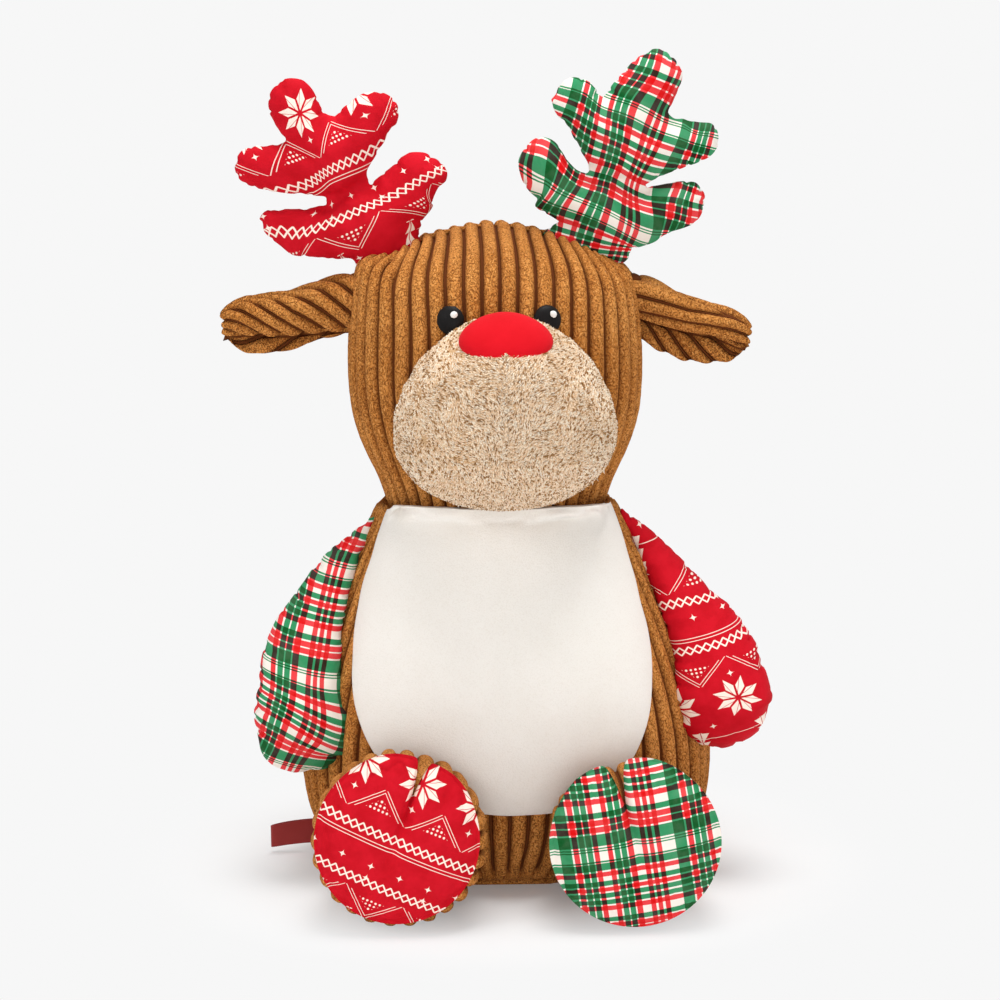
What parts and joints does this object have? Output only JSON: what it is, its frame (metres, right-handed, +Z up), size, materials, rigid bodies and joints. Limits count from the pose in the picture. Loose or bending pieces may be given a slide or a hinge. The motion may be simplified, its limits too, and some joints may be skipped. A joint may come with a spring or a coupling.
{
  "type": "plush deer",
  "caption": "Sitting stuffed deer with a corduroy body and head, printed antlers, arms and foot soles, a plain plush belly and a red nose.",
  "frame": {"origin": "centre of the flat underside of the body, on the surface the deer sits on", "axes": "+Z up, the deer faces -Y, +X to the right as seen from in front of it"},
  "size_m": [0.2724, 0.2221, 0.4037],
  "materials": {
    "corduroy": "wide-wale mottled corduroy",
    "white_plush": "short smooth plush",
    "heather_plush": "short swirled heather pile",
    "red_felt": "smooth felt",
    "eye_black": "close black embroidery",
    "eye_thread": "white embroidery thread",
    "red_print": "smooth printed cotton",
    "plaid": "smooth woven plaid",
    "tag_satin": "woven satin",
    "fibre": "polyester fibre"
  },
  "bodies": {
    "torso": {"torso": "corduroy", "base_panel": "corduroy", "belly_panel": "white_plush"},
    "neck": {"neck_stuffing": "fibre"},
    "head": {"head": "corduroy", "muzzle": "heather_plush", "nose": "red_felt", "eye_left": "eye_black", "eye_right": "eye_black", "eye_left_glint": "eye_thread", "eye_right_glint": "eye_thread"},
    "antler_left": {"antler_left": "red_print"},
    "antler_right": {"antler_right": "plaid"},
    "ear_left": {"ear_left": "corduroy"},
    "ear_right": {"ear_right": "corduroy"},
    "arm_left": {"arm_left": "plaid"},
    "arm_right": {"arm_right": "red_print"},
    "leg_left": {"leg_left": "corduroy", "sole_left": "red_print"},
    "leg_right": {"leg_right": "corduroy", "sole_right": "plaid"},
    "side_tag": {"side_tag": "tag_satin"}
  },
  "joints": [
    {"name": "head_turn", "type": "hinge", "parent": "torso", "child": "neck", "pos_m": [-0.005, 0.002, 0.2], "axis": [0, 0, 1], "range_deg": [-25, 25], "stiffness_Nm_per_rad": 1},
    {"name": "head_nod", "type": "hinge", "parent": "neck", "child": "head", "pos_m": [-0.005, 0.002, 0.2], "axis": [1, 0, 0], "range_deg": [-8, 8], "stiffness_Nm_per_rad": 3},
    {"name": "antler_left_tip", "type": "hinge", "parent": "head", "child": "antler_left", "pos_m": [-0.06047, 0.001, 0.31418], "axis": [0.9135, 0, 0.4067], "range_deg": [-25, 25], "stiffness_Nm_per_rad": 0.12},
    {"name": "antler_right_tip", "type": "hinge", "parent": "head", "child": "antler_right", "pos_m": [0.05047, 0.001, 0.31418], "axis": [0.9135, 0, -0.4067], "range_deg": [-25, 25], "stiffness_Nm_per_rad": 0.12},
    {"name": "ear_left_fold", "type": "hinge", "parent": "head", "child": "ear_left", "pos_m": [-0.08265, 0.004, 0.28395], "axis": [0, 0, 1], "range_deg": [-30, 30], "stiffness_Nm_per_rad": 0.03},
    {"name": "ear_right_fold", "type": "hinge", "parent": "head", "child": "ear_right", "pos_m": [0.06965, 0.004, 0.28395], "axis": [0, 0, 1], "range_deg": [-30, 30], "stiffness_Nm_per_rad": 0.03},
    {"name": "arm_left_raise", "type": "hinge", "parent": "torso", "child": "arm_left", "pos_m": [-0.06986, -0.004, 0.179], "axis": [0, 1, 0], "range_deg": [0, 75], "stiffness_Nm_per_rad": 0.03},
    {"name": "arm_right_raise", "type": "hinge", "parent": "torso", "child": "arm_right", "pos_m": [0.05985, -0.004, 0.179], "axis": [0, -1, 0], "range_deg": [0, 75], "stiffness_Nm_per_rad": 0.03},
    {"name": "leg_left_lift", "type": "hinge", "parent": "torso", "child": "leg_left", "pos_m": [-0.056, -0.072, 0.036], "axis": [-1, 0, 0], "range_deg": [-22, 12], "stiffness_Nm_per_rad": 0.4},
    {"name": "leg_right_lift", "type": "hinge", "parent": "torso", "child": "leg_right", "pos_m": [0.056, -0.072, 0.036], "axis": [-1, 0, 0], "range_deg": [-22, 12], "stiffness_Nm_per_rad": 0.4},
    {"name": "side_tag_flap", "type": "hinge", "parent": "torso", "child": "side_tag", "pos_m": [-0.09409, 0.01, 0.011], "axis": [0, 0, 1], "range_deg": [-50, 50], "stiffness_Nm_per_rad": 0.0005}
  ]
}
